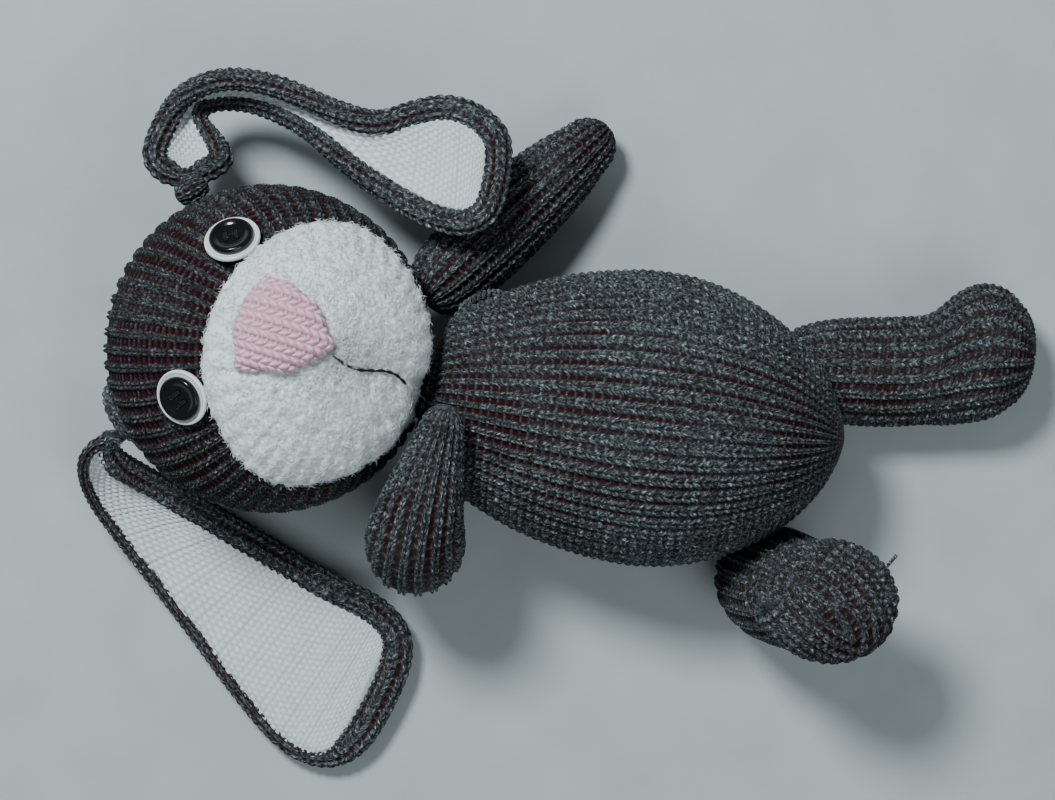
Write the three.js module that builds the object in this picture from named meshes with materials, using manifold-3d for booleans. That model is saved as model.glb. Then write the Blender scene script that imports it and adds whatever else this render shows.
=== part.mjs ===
// A hand-knitted stuffed bunny lying on its back: a knitted cover and a stuffing in every limb,
// seams that join the limbs to the body, a padded muzzle, button eyes and two long lined ears.
// Millimetres. +X runs down the spine from neck to seat, +Y is the bunny's left, +Z is its front.
// The solids are built round the body's axis and the whole group is moved onto its base at the end.
import * as THREE from 'three';
import { mergeVertices } from 'three/addons/utils/BufferGeometryUtils.js';
import Module from 'manifold-3d';

const wasm = await Module();
wasm.setup();

// ---------------------------------------------------------------- driving dimensions
const WALL = 2.6; // knitted fabric of the covers
const GAP = 0.4; // clearance between a cover and its stuffing
const SEAM_GAP = 0.5; // clearance between a seam ring and what it joins
const FLOOR = 0; // the bunny rests on z = 0

const BODY_HEIGHT = 52.5; // spine above the floor
const BODY_OUTLINE = [ // [along the spine, radius], from the neck to the seat
  [-74.6, 0], [-74.6, 24.5], [-72.5, 31], [-66, 35.5], [-56, 41], [-44, 46.5], [-30, 51], [-12, 54.5],
  [4, 55.5], [20, 53.5], [36, 48], [50, 40], [60, 31.5], [68, 21.5], [73.5, 11], [75.6, 0],
];
const BODY_SIDES = 20;
const NECK_OPENING = 22; // radius of the open neck of the body cover

const HEAD_CENTRE = [-138.5, 10, 55];
const HEAD_RADIUS = 61.5; // across the face and from crown to chin
const HEAD_DEPTH = 57; // from the centre to the face
const HEAD_OPENING = 15;
const BROW_OUT = [-0.31, 0.14, 0.94]; // from the head's centre to between the eyes
const CHIN_OUT = [0.93, -0.15, 0.33]; // from the head's centre to the chin

const MUZZLE = { down: 44.5, halfDown: 41.5, halfLeft: 48, edge: 3.4, crown: 12.5 }; // degrees, mm
const MOUTH_CREASE = { from: 40, full: 58, depth: 3.6, halfWidth: 7 }; // between the cheeks
const NOSE = { down: 25.5, left: -2, reach: 17.5, edge: 3, crown: 5.5, gap: 0.7 };
const MOUTH = { from: 43.5, to: 68, wave: 1.2, thread: 1.2 };

const EYE_DOWN = -2; // degrees from the brow towards the chin
const EYE_LEFT = 29; // degrees to each side of the brow
const EYE_DISC = { radius: 10, thick: 2 };
const EYE_BUTTON = { radius: 7.5, thick: 3, hole: 0.95, spacing: 2 };
const EYE_THREAD = { length: 4.6, width: 1, thick: 0.8 };

const EAR = { back: 2.2, lining: 1.8, rim: 8, rimHeight: 3.2, liningGap: 0.8 };

const SEAM_THREAD = 1.6; // radius of the stitched roll in a seam
const NECK_SEAM = 18.5; // radius of the neck's seam ring
const NECK_THREAD = 2.2; // radius of the roll in the neck's seam
const SEAM_PLACE = 0.58; // where a limb's seam ring lies between the limb's root and the body, 0 to 1

// ---------------------------------------------------------------- colours
const fabric = (colour) => new THREE.MeshStandardMaterial({ color: colour, roughness: 0.95, metalness: 0 });
const glossy = (colour) => new THREE.MeshStandardMaterial({ color: colour, roughness: 0.15, metalness: 0 });
const greyYarn = () => fabric(0x3f4245);
const seamYarn = () => fabric(0x35302f);
const whiteYarn = () => fabric(0xdfe2e0);
const pinkYarn = () => fabric(0xe6a9b0);
const darkThread = () => fabric(0x3a3033);
const fibre = () => fabric(0xf2f2ee);

// ---------------------------------------------------------------- small tools
const vec = (place) => new THREE.Vector3(...place);
const mix = THREE.MathUtils.lerp;
const rad = THREE.MathUtils.degToRad;
const smooth = THREE.MathUtils.smoothstep;

// Moves every vertex of a geometry by a function that changes the vector it is given.
function reshape(geometry, change) {
  const places = geometry.attributes.position;
  const point = new THREE.Vector3();
  for (let i = 0; i < places.count; i++) {
    point.fromBufferAttribute(places, i);
    change(point);
    places.setXYZ(i, point.x, point.y, point.z);
  }
  return geometry;
}

// A closed geometry with shared vertices, no collapsed triangles and its faces pointing out.
function tidy(geometry) {
  const bare = geometry.clone();
  bare.deleteAttribute('normal');
  bare.deleteAttribute('uv');
  const merged = mergeVertices(bare, 1e-3);
  const corners = merged.index.array;
  const places = merged.attributes.position;
  const kept = [];
  let volume = 0;
  const [a, b, c] = [new THREE.Vector3(), new THREE.Vector3(), new THREE.Vector3()];
  for (let i = 0; i < corners.length; i += 3) {
    const [ia, ib, ic] = corners.slice(i, i + 3);
    if (ia === ib || ib === ic || ia === ic) continue;
    kept.push(ia, ib, ic);
    a.fromBufferAttribute(places, ia);
    b.fromBufferAttribute(places, ib);
    c.fromBufferAttribute(places, ic);
    volume += a.dot(b.cross(c));
  }
  if (volume < 0) kept.reverse();
  merged.setIndex(kept);
  return merged;
}

function toSolid(geometry) {
  const clean = tidy(geometry);
  return new wasm.Manifold(new wasm.Mesh({
    numProp: 3,
    vertProperties: new Float32Array(clean.attributes.position.array),
    triVerts: new Uint32Array(clean.index.array),
  }));
}

function toGeometry(solid) {
  const mesh = solid.getMesh();
  const geometry = new THREE.BufferGeometry();
  geometry.setAttribute('position', new THREE.BufferAttribute(new Float32Array(mesh.vertProperties), 3));
  geometry.setIndex(new THREE.BufferAttribute(new Uint32Array(mesh.triVerts), 1));
  return geometry;
}

const cut = (geometry, ...tools) => toGeometry(
  tools.reduce((solid, tool) => solid.subtract(toSolid(tool)), toSolid(geometry)),
);
const join = (one, other) => toGeometry(toSolid(one).add(toSolid(other)));

// Turns a shape made along +X to point along a direction, and puts its origin at a place.
function aim(geometry, place, direction) {
  const turn = new THREE.Quaternion().setFromUnitVectors(new THREE.Vector3(1, 0, 0), direction);
  return geometry.applyQuaternion(turn).translate(place.x, place.y, place.z);
}

// A round bar along +X from one end to the other.
function bar(from, to, radius, sides = 16) {
  const geometry = new THREE.CylinderGeometry(radius, radius, to - from, sides);
  return geometry.rotateZ(-Math.PI / 2).translate((from + to) / 2, 0, 0);
}

// A closed shape turned about +X from an outline of [along, radius] points that starts and ends at radius 0.
function turned(outline, sides) {
  const points = outline.map(([along, radius]) => new THREE.Vector2(radius, along));
  return new THREE.LatheGeometry(points, sides).rotateZ(-Math.PI / 2);
}

// The outline moved inwards by a distance, square to itself.
function inset(outline, distance) {
  const last = outline.length - 1;
  return outline.map(([along, radius], i) => {
    if (i === 0) return [along + distance, 0];
    if (i === last) return [along - distance, 0];
    const before = new THREE.Vector2(...outline[i]).sub(new THREE.Vector2(...outline[i - 1])).normalize();
    const after = new THREE.Vector2(...outline[i + 1]).sub(new THREE.Vector2(...outline[i])).normalize();
    const bisector = before.clone().add(after).normalize();
    const stretch = distance / Math.max(bisector.dot(before), 0.6);
    return [along + bisector.y * stretch, Math.max(radius - bisector.x * stretch, 0.5)];
  });
}

// Keeps a shape above the floor: a cover to the floor itself, what is inside it by its own depth.
const restOn = (geometry, depth) => reshape(geometry, (p) => {
  p.z = Math.max(p.z, FLOOR + depth);
});

// ---------------------------------------------------------------- the group and its parts
const bunny = new THREE.Group();
bunny.name = 'bunny';

// A moving group whose origin is its joint's pivot, given in the bunny's own frame.
function movingGroup(name, pivot, parent = bunny) {
  const group = new THREE.Group();
  group.name = name;
  group.userData.pivot = pivot;
  const parentPivot = parent.userData.pivot ?? vec([0, 0, 0]);
  group.position.copy(pivot).sub(parentPivot);
  parent.add(group);
  return group;
}

// Adds a sub-part whose geometry was made in the bunny's own frame.
function addPart(name, geometry, material, group = bunny) {
  const pivot = group.userData.pivot ?? vec([0, 0, 0]);
  const clean = tidy(geometry);
  clean.translate(-pivot.x, -pivot.y, -pivot.z);
  clean.computeVertexNormals();
  const mesh = new THREE.Mesh(clean, material);
  mesh.name = name;
  group.add(mesh);
}

// A stitched roll of yarn in the seam between two pieces, as a ring square to an axis.
function seamRing(radius, centre, axis, thread = SEAM_THREAD, steps = 14) {
  const ring = new THREE.TorusGeometry(radius, thread, 6, steps).rotateY(Math.PI / 2);
  return aim(ring, centre, axis);
}

// ---------------------------------------------------------------- body
const bodyShape = (depth) => restOn(
  turned(inset(BODY_OUTLINE, depth), BODY_SIDES).translate(0, 0, BODY_HEIGHT),
  depth,
);

function buildBody() {
  const neckPlug = bar(-90, -66, NECK_OPENING).translate(0, 0, BODY_HEIGHT);
  addPart('body_cover', cut(bodyShape(0), bodyShape(WALL), neckPlug), greyYarn());
  addPart('body_stuffing', bodyShape(WALL + GAP), fibre());
}

// The nearest place on the body's surface to a point beside it, and the way from there to the point.
function seamFrom(point) {
  const spine = new THREE.Vector3(0, 0, BODY_HEIGHT);
  const side = point.clone().sub(spine).setX(0);
  const radial = side.length();
  side.normalize();
  let nearest = null;
  BODY_OUTLINE.slice(1).forEach(([along, radius], i) => {
    const [alongBefore, radiusBefore] = BODY_OUTLINE[i];
    for (let step = 0; step <= 1; step += 0.125) {
      const at = [mix(alongBefore, along, step), mix(radiusBefore, radius, step)];
      const distance = Math.hypot(point.x - at[0], radial - at[1]);
      if (!nearest || distance < nearest.distance) nearest = { at, distance };
    }
  });
  const place = spine.addScaledVector(side, nearest.at[1]).setX(nearest.at[0]);
  return { place, out: point.clone().sub(place).normalize(), distance: nearest.distance };
}

// ---------------------------------------------------------------- head
const headCentre = vec(HEAD_CENTRE);
const browOut = vec(BROW_OUT).normalize();
const leftOut = browOut.clone().cross(vec(CHIN_OUT)).normalize().negate();
const chinOut = browOut.clone().cross(leftOut).normalize();

function headReach(direction) {
  const across = (direction.x ** 2 + direction.y ** 2) / HEAD_RADIUS ** 2;
  return 1 / Math.sqrt(across + direction.z ** 2 / HEAD_DEPTH ** 2);
}

// A place on the face: degrees down from the brow and to the bunny's left, and a height above the cover.
function onFace(down, left, height) {
  const direction = browOut.clone().multiplyScalar(Math.cos(rad(down)) * Math.cos(rad(left)))
    .addScaledVector(chinOut, Math.sin(rad(down)) * Math.cos(rad(left)))
    .addScaledVector(leftOut, Math.sin(rad(left)));
  return direction.clone().multiplyScalar(headReach(direction) + height).add(headCentre);
}

// A place on the head in a direction, at a height above the cover.
function onHead(direction, height) {
  const way = direction.clone().normalize();
  return way.clone().multiplyScalar(headReach(way) + height).add(headCentre);
}

const neckOut = new THREE.Vector3(0, 0, BODY_HEIGHT).setX(BODY_OUTLINE[0][0]).sub(headCentre).normalize();

function headShape(depth) {
  const ball = new THREE.SphereGeometry(HEAD_RADIUS - depth, 20, 14).rotateZ(-Math.PI / 2);
  aim(ball, vec([0, 0, 0]), neckOut);
  ball.scale(1, 1, (HEAD_DEPTH - depth) / (HEAD_RADIUS - depth));
  ball.translate(...HEAD_CENTRE);
  return restOn(ball, depth);
}

function buildHead(head) {
  const neckPlug = aim(bar(HEAD_RADIUS - 14, HEAD_RADIUS + 9, HEAD_OPENING), headCentre, neckOut);
  addPart('head_cover', cut(headShape(0), headShape(WALL), neckPlug), greyYarn(), head);
  addPart('head_stuffing', headShape(WALL + GAP), fibre(), head);
}

// How far the muzzle's cover stands above the head: two cheeks with the mouth's crease between them.
function muzzleHeight(down, left) {
  const away = Math.hypot((down - MUZZLE.down) / MUZZLE.halfDown, left / MUZZLE.halfLeft);
  const dome = mix(MUZZLE.edge, MUZZLE.crown, Math.sqrt(Math.max(0, 1 - away ** 2)));
  const split = smooth(down, MOUTH_CREASE.from, MOUTH_CREASE.full);
  const crease = MOUTH_CREASE.depth * split * Math.exp(-((left / MOUTH_CREASE.halfWidth) ** 2));
  return Math.max(dome - crease, MUZZLE.edge - 1);
}

// A padded patch on the face, turned on an outline and laid between two heights above the head's cover.
function facePatch({ down, left = 0, reachDown, reachLeft, outline = () => 1, under, over, rings, sectors }) {
  const steps = Array.from({ length: rings + 1 }, (_, i) => Math.sin((i / rings) * (Math.PI / 2)));
  const points = [
    ...steps.map((step) => new THREE.Vector2(step, 0)),
    ...steps.toReversed().map((step) => new THREE.Vector2(step, 1)),
  ];
  return reshape(new THREE.LatheGeometry(points, sectors), (p) => {
    const turn = Math.atan2(p.z, p.x);
    const away = Math.hypot(p.x, p.z) * outline(turn);
    const atDown = down + away * reachDown * Math.cos(turn);
    const atLeft = left + away * reachLeft * Math.sin(turn);
    const height = mix(under(atDown, atLeft), over(atDown, atLeft, Math.hypot(p.x, p.z)), p.y);
    p.copy(onFace(atDown, atLeft, height));
  });
}

function buildMuzzle(head) {
  const patch = (reach, under, over) => facePatch({
    down: MUZZLE.down,
    reachDown: MUZZLE.halfDown * reach,
    reachLeft: MUZZLE.halfLeft * reach,
    under,
    over,
    rings: 6,
    sectors: 24,
  });
  const outside = patch(1, () => GAP, muzzleHeight);
  const inside = patch(0.93, () => -4, (down, left) => muzzleHeight(down, left) - WALL);
  addPart('muzzle_cover', cut(outside, inside), whiteYarn(), head);
  const padding = patch(0.9, () => GAP, (down, left) => muzzleHeight(down, left) - WALL - GAP);
  addPart('muzzle_stuffing', padding, fibre(), head);
}

// A triangle with rounded corners, one of them towards the chin, as a radius for each turn.
function noseOutline(turn) {
  const third = (2 * Math.PI) / 3;
  const corner = THREE.MathUtils.euclideanModulo(turn, third) - third / 2;
  const straight = Math.cos(Math.PI / 3) / Math.cos(corner);
  return mix(straight, 0.72, 0.45) * 1.12;
}

function buildNose(head) {
  const nose = facePatch({
    down: NOSE.down,
    left: NOSE.left,
    reachDown: NOSE.reach,
    reachLeft: NOSE.reach,
    outline: noseOutline,
    under: (down, left) => muzzleHeight(down, left) + NOSE.gap,
    over: (down, left, away) => muzzleHeight(down, left)
      + mix(NOSE.edge, NOSE.crown, Math.sqrt(Math.max(0, 1 - away ** 2))),
    rings: 4,
    sectors: 18,
  });
  addPart('nose', nose, pinkYarn(), head);
}

function buildMouth(head) {
  const steps = 7;
  const line = Array.from({ length: steps + 1 }, (_, i) => {
    const down = mix(MOUTH.from, MOUTH.to, i / steps);
    const left = MOUTH.wave * Math.sin((i / steps) * Math.PI * 2);
    return onFace(down, left, muzzleHeight(down, left) + MOUTH.thread / 2 + 0.5);
  });
  const section = new THREE.Shape().absellipse(0, 0, MOUTH.thread / 2, MOUTH.thread / 2, 0, Math.PI * 2);
  const extrudePath = new THREE.CatmullRomCurve3(line);
  const thread = new THREE.ExtrudeGeometry(section, { extrudePath, steps: 14, curveSegments: 3 });
  addPart('mouth_thread', thread, darkThread(), head);
}

function buildEye(side, left, head) {
  const base = onFace(EYE_DOWN, left, 0);
  const out = base.clone().sub(headCentre).normalize();
  const sag = EYE_DISC.radius ** 2 / (2 * HEAD_RADIUS);
  const place = base.addScaledVector(out, 0.4);
  const discTop = EYE_DISC.thick;
  const dish = turned([
    [-sag * 0.2, 0], [-sag * 0.2, EYE_DISC.radius * 0.5], [0, EYE_DISC.radius],
    [discTop, EYE_DISC.radius * 0.97], [discTop, EYE_BUTTON.radius + 0.6],
    [discTop - 0.6, EYE_BUTTON.radius + 0.3], [discTop - 0.6, 0],
  ], 16);
  addPart(`${side}_eye_disc`, aim(dish, place, out), glossy(0xeeeeea), head);
  const low = discTop - 0.3;
  const high = low + EYE_BUTTON.thick;
  const button = turned([
    [low, 0], [low, EYE_BUTTON.radius * 0.94], [low + 0.6, EYE_BUTTON.radius], [high - 0.7, EYE_BUTTON.radius],
    [high, EYE_BUTTON.radius * 0.9], [high, EYE_BUTTON.radius * 0.72],
    [high - 0.9, EYE_BUTTON.radius * 0.6], [high - 0.9, 0],
  ], 16);
  const holes = [[1, 1], [1, -1], [-1, 1], [-1, -1]].map(([across, along]) => (
    bar(low - 1, high + 1, EYE_BUTTON.hole, 8)
      .translate(0, across * EYE_BUTTON.spacing, along * EYE_BUTTON.spacing)
  ));
  const drilled = cut(button, ...holes);
  addPart(`${side}_eye_button`, aim(drilled, place, out), glossy(0x0c0d0f), head);
  const threadHeight = high - 0.9 + 0.35 + EYE_THREAD.thick / 2;
  const bars = [-1, 1].map((along) => (
    new THREE.BoxGeometry(EYE_THREAD.thick, EYE_THREAD.length, EYE_THREAD.width)
      .translate(threadHeight, 0, along * EYE_BUTTON.spacing)
  ));
  const bridge = new THREE.BoxGeometry(EYE_THREAD.thick, EYE_THREAD.width, 2 * EYE_BUTTON.spacing)
    .translate(threadHeight, 0, 0);
  addPart(`${side}_eye_thread`, aim(join(join(bars[0], bridge), bars[1]), place, out), darkThread(), head);
}

// ---------------------------------------------------------------- ears
// Each ear is a strip between two edges, from its base on the head to its tip. The dark back has a
// rolled rim all round, and the white lining lies in the trough between the rims.
const EARS = {
  left: {
    outer: [
      [-182, 64, 53], [-193, 73, 52], [-192, 86, 51], [-185, 100, 50], [-168, 109, 51], [-148, 109, 52],
      [-127, 104, 53], [-109, 101, 55], [-97, 106, 56], [-82, 110, 57], [-66, 105, 58], [-56, 94, 59],
    ],
    inner: [
      [-170, 67, 53], [-160, 77, 47], [-167, 87, 38], [-177, 94, 30], [-172, 100, 26], [-156, 100, 28],
      [-136, 91, 36], [-118, 77, 46], [-98, 66, 54], [-82, 60, 57], [-68, 60, 58], [-57, 70, 59],
    ],
    trough: 3,
    facing: -1,
    steps: 20,
    root: [-174, 62, 53],
  },
  right: {
    outer: [
      [-200, -30, 50], [-206, -41, 44], [-203, -56, 26], [-187, -76, 13], [-163, -102, 8],
      [-141, -126, 7.5], [-119, -145, 7.5], [-98, -147, 8], [-84, -134, 9],
    ],
    inner: [
      [-189, -25, 50], [-191, -34, 42], [-175, -43, 26], [-153, -53, 17], [-131, -63, 14],
      [-109, -73, 12], [-88, -81, 11], [-76, -94, 10.5], [-76, -112, 10],
    ],
    trough: 2,
    facing: 1,
    steps: 18,
    root: [-192, -22, 50],
  },
};

// The rolled rim narrows where the strip does.
const rimWidth = (halfSpan) => Math.min(EAR.rim, 0.55 * halfSpan);

// How far from the strip's edge a line of vertices runs: a third of the lines shape each rolled rim.
function rimSpacing(inwards, halfSpan) {
  const rimShare = 2 / 3;
  if (inwards <= rimShare) return (inwards / rimShare) * rimWidth(halfSpan);
  return mix(rimWidth(halfSpan), halfSpan, (inwards - rimShare) / (1 - rimShare));
}

// Bends a flat board into a layer of the ear. across gives the place over the width, from -1 to 1.
function earLayer(ear, { trim = 0, lines, across, under, over }) {
  const [outer, inner] = [ear.outer, ear.inner].map((edge) => new THREE.CatmullRomCurve3(edge.map(vec)));
  const at = (along, side) => outer.getPoint(along).lerp(inner.getPoint(along), (side + 1) / 2);
  const small = 0.01;
  const board = new THREE.BoxGeometry(1, 1, 1, ear.steps - 2 * trim, lines, 1);
  return restOn(reshape(board, (p) => {
    const along = mix(trim / ear.steps, 1 - trim / ear.steps, p.x + 0.5);
    const span = at(along, 1).sub(at(along, -1));
    const halfSpan = span.length() / 2;
    const side = across(2 * p.y, halfSpan);
    const ahead = at(Math.min(along + small, 1), side);
    const run = ahead.sub(at(Math.max(along - small, 0), side));
    const normal = run.cross(span).normalize().multiplyScalar(ear.facing);
    const fromEdge = (1 - Math.abs(side)) * halfSpan;
    const dip = ear.trough * (1 - side ** 2);
    const rim = Math.sqrt(Math.max(0, 1 - (2 * fromEdge / rimWidth(halfSpan) - 1) ** 2));
    const height = p.z > 0 ? over(rim) : under(rim);
    p.copy(at(along, side)).addScaledVector(normal, height - dip);
  }), 0);
}

function buildEar(side, head) {
  const ear = EARS[side];
  const group = movingGroup(`${side}_ear`, vec(ear.root), head);
  const back = earLayer(ear, {
    lines: 12,
    across: (y, halfSpan) => Math.sign(y) * (1 - rimSpacing(1 - Math.abs(y), halfSpan) / halfSpan),
    under: (rim) => -EAR.back - EAR.rimHeight * 0.35 * rim,
    over: (rim) => EAR.rimHeight * rim,
  });
  addPart(`${side}_ear_back`, back, greyYarn(), group);
  const lining = earLayer(ear, {
    trim: 1,
    lines: 4,
    across: (y, halfSpan) => y * (1 - (rimWidth(halfSpan) + 1) / halfSpan),
    under: () => EAR.liningGap,
    over: () => EAR.liningGap + EAR.lining,
  });
  addPart(`${side}_ear_lining`, lining, whiteYarn(), group);
}

// ---------------------------------------------------------------- limbs
// A limb turned about its own length from a ball at its root to a round tip, then bent along a path.
function limbOutline(length, radii, tip) {
  const quarter = 4;
  const [rootRadius, tipRadius] = [radii[0], tip];
  const root = Array.from({ length: quarter }, (_, i) => {
    const turn = (i / quarter) * (Math.PI / 2);
    return [-rootRadius * Math.cos(turn), rootRadius * Math.sin(turn)];
  });
  const tube = radii.map((radius, i) => [(length * i) / (radii.length - 1), radius]);
  const end = Array.from({ length: quarter }, (_, i) => {
    const turn = ((i + 1) / quarter) * (Math.PI / 2);
    return [length + tipRadius * Math.sin(turn), i === quarter - 1 ? 0 : tipRadius * Math.cos(turn)];
  });
  return [...root, ...tube, ...end];
}

function bentLimb({ path, radii, sides = 12 }, depth) {
  const curve = new THREE.CatmullRomCurve3(path.map(vec));
  const length = curve.getLength();
  const shape = turned(inset(limbOutline(length, radii, radii.at(-1)), depth), sides);
  const up = new THREE.Vector3(0, 0, 1);
  const start = curve.getTangentAt(0);
  const reference = Math.abs(start.z) > 0.7 ? new THREE.Vector3(1, 0, 0) : up;
  return restOn(reshape(shape, (p) => {
    const along = THREE.MathUtils.clamp(p.x, 0, length);
    const tangent = curve.getTangentAt(along / length);
    const side = reference.clone().cross(tangent).normalize();
    const rise = tangent.clone().cross(side);
    const place = curve.getPointAt(along / length).addScaledVector(tangent, p.x - along);
    p.copy(place.addScaledVector(side, p.y).addScaledVector(rise, p.z));
  }), depth);
}

// A foot's rounded block: half its thickness along the leg, half its length to the toe, half its width.
function footBlock({ centre, alongLeg, toToe, half }, depth) {
  const x = vec(alongLeg).normalize();
  const z = x.clone().cross(vec(toToe)).normalize();
  const y = z.clone().cross(x);
  const block = new THREE.SphereGeometry(1, 14, 8);
  block.scale(half[0] - depth, half[1] - depth, half[2] - depth);
  block.applyMatrix4(new THREE.Matrix4().makeBasis(x, y, z));
  return restOn(block.translate(...centre), depth);
}

// A cover and its stuffing, and the seam ring that joins the limb's root to the body.
function buildLimb(name, seamName, limb) {
  const pivot = vec(limb.path[0]);
  const group = movingGroup(name, pivot);
  const shape = (depth) => {
    const tube = bentLimb(limb, depth);
    return limb.foot ? join(tube, footBlock(limb.foot, depth)) : tube;
  };
  const seam = seamFrom(pivot);
  const opening = bar(-limb.radii[0] - 1, -limb.radii[0] + WALL + 6, limb.seam - SEAM_THREAD);
  const way = seam.out.clone();
  aim(opening, pivot, way);
  addPart(`${name}_cover`, cut(shape(0), shape(WALL), opening), greyYarn(), group);
  addPart(`${name}_stuffing`, shape(WALL + GAP), fibre(), group);
  const back = mix(limb.radii[0], seam.distance, SEAM_PLACE);
  const centre = pivot.clone().addScaledVector(way, -back);
  addPart(seamName, seamRing(limb.seam, centre, way), seamYarn());
}

const ARM_RADII = [17, 18, 18, 17.5, 16.5, 15, 12.5];
const LEG_RADII = [18, 20, 20.5, 20.5, 20, 18];
const LIMBS = {
  left_arm: {
    path: [[-72, 51, 29], [-56, 71, 24], [-31, 100, 15]],
    radii: ARM_RADII,
    seam: 10,
  },
  right_arm: {
    path: [[-77, -56, 42], [-77, -56, 60], [-76, -44, 83], [-71, -13, 96]],
    radii: [18, 18.8, 19.2, 18, 15.5, 12.3, 9],
    seam: 6,
  },
  left_leg: {
    path: [[81, 27, 21], [102, 29, 22], [126, 33, 22]],
    radii: LEG_RADII,
    seam: 12,
    foot: { centre: [128.5, 38.5, 22.5], alongLeg: [1, 0.1, 0], toToe: [0, 1, 0], half: [19, 26, 23] },
  },
  right_leg: {
    path: [[57, -56, 22], [60, -59, 40], [66, -59, 57], [71, -58, 72]],
    radii: [17.7, 18.2, 19, 19, 18.5, 17],
    seam: 7,
    foot: { centre: [74, -58, 76], alongLeg: [0.1, 0, 1], toToe: [1, 0, -0.1], half: [18, 26.5, 24] },
  },
};

// ---------------------------------------------------------------- assembly
buildBody();
const head = movingGroup('head', headCentre);
buildHead(head);
buildMuzzle(head);
buildNose(head);
buildMouth(head);
buildEye('left', EYE_LEFT, head);
buildEye('right', -EYE_LEFT, head);
buildEar('left', head);
buildEar('right', head);
const neckClear = HEAD_RADIUS + NECK_THREAD + SEAM_GAP;
const neckBack = Math.sqrt(neckClear ** 2 - NECK_SEAM ** 2);
addPart(
  'neck_stitches',
  seamRing(NECK_SEAM, headCentre.clone().addScaledVector(neckOut, neckBack), neckOut, NECK_THREAD, 20),
  seamYarn(),
);
buildLimb('left_arm', 'left_shoulder_stitches', LIMBS.left_arm);
buildLimb('right_arm', 'right_shoulder_stitches', LIMBS.right_arm);
buildLimb('left_leg', 'left_hip_stitches', LIMBS.left_leg);
buildLimb('right_leg', 'right_hip_stitches', LIMBS.right_leg);

const box = new THREE.Box3().setFromObject(bunny);
const middle = box.getCenter(new THREE.Vector3());
bunny.position.set(-middle.x, -middle.y, -box.min.z);

export default bunny;
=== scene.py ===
"""A hand-knitted stuffed bunny lying on its back.

Each padded cover is a closed grid of cloth that is blown up by a cloth simulation, refined, and then
knitted: every stitch is a pair of yarn legs raised from the surface. Shapes are in millimetres along
the bunny's own axes, +X down the spine, +Y to its left and +Z to its front, and become metres in the
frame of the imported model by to_row.
"""
import math

import bpy
import numpy as np
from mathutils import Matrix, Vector, noise


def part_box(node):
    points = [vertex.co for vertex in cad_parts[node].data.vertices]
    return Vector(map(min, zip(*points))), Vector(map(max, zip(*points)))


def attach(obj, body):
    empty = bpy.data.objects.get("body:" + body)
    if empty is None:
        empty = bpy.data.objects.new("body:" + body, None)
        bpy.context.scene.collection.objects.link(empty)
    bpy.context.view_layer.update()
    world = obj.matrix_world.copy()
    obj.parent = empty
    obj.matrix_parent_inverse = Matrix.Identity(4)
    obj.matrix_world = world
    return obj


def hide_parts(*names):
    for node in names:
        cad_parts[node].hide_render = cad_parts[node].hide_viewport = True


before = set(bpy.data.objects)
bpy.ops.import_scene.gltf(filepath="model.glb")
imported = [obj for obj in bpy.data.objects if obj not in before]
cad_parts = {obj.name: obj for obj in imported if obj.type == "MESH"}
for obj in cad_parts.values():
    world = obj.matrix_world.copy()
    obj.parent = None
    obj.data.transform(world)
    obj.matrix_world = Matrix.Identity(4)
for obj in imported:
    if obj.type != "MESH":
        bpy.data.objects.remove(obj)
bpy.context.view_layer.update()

# ---------------------------------------------------------------- driving dimensions, millimetres
BODY_HEIGHT = 52.5
BODY_OUTLINE = [
    (-74.6, 18), (-74.6, 24.5), (-72.5, 31), (-66, 35.5), (-56, 41), (-44, 46.5), (-30, 51),
    (-12, 54.5), (4, 55.5), (20, 53.5), (36, 48), (50, 40), (60, 31.5), (68, 21.5), (73.5, 11),
    (75.6, 1.5),
]
HEAD_CENTRE = np.array([-138.5, 10.0, 55.0])
HEAD_RADIUS, HEAD_DEPTH = 61.5, 57.0
BROW_OUT = np.array([-0.31, 0.14, 0.94])
CHIN_OUT = np.array([0.93, -0.15, 0.33])
MUZZLE = {"down": 44.5, "half_down": 41.5, "half_left": 48, "edge": 3.4, "crown": 12.5}
CREASE = {"from": 40, "full": 58, "depth": 3.6, "half_width": 7}
NOSE = {"down": 25.5, "left": -2, "reach": 17.8, "edge": 1.8, "crown": 7.6}
MOUTH = {"from": 42.5, "to": 72, "wave": 1.4}
EYE_DOWN, EYE_LEFT = -2, 29

WALE, COURSE = 5.9, 3.15  # width and height of a knitted stitch
PER_WALE = 10  # vertices across a stitch
PER_COURSE = 5
STITCH_DEPTH = 2.0
END_VALLEY_SHADE = 0.5  # how much painted shade the middle of a closed end gets
FLOOR_GAP = 0.15  # the lowest a knitted surface reaches

body_low, body_high = (np.array(corner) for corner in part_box("body_cover"))
SHIFT = np.array([body_low[0] + 0.0746, (body_low[1] + body_high[1]) / 2, 0])


def to_row(points):
    """Points in millimetres on the bunny's axes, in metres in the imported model's frame."""
    return np.asarray(points, float) * 0.001 + SHIFT


# ---------------------------------------------------------------- small mathematics
def unit(vectors):
    length = np.linalg.norm(vectors, axis=-1, keepdims=True)
    return vectors / np.maximum(length, 1e-9)


def smooth(value, low, high):
    t = np.clip((value - low) / (high - low), 0, 1)
    return t * t * (3 - 2 * t)


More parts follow.
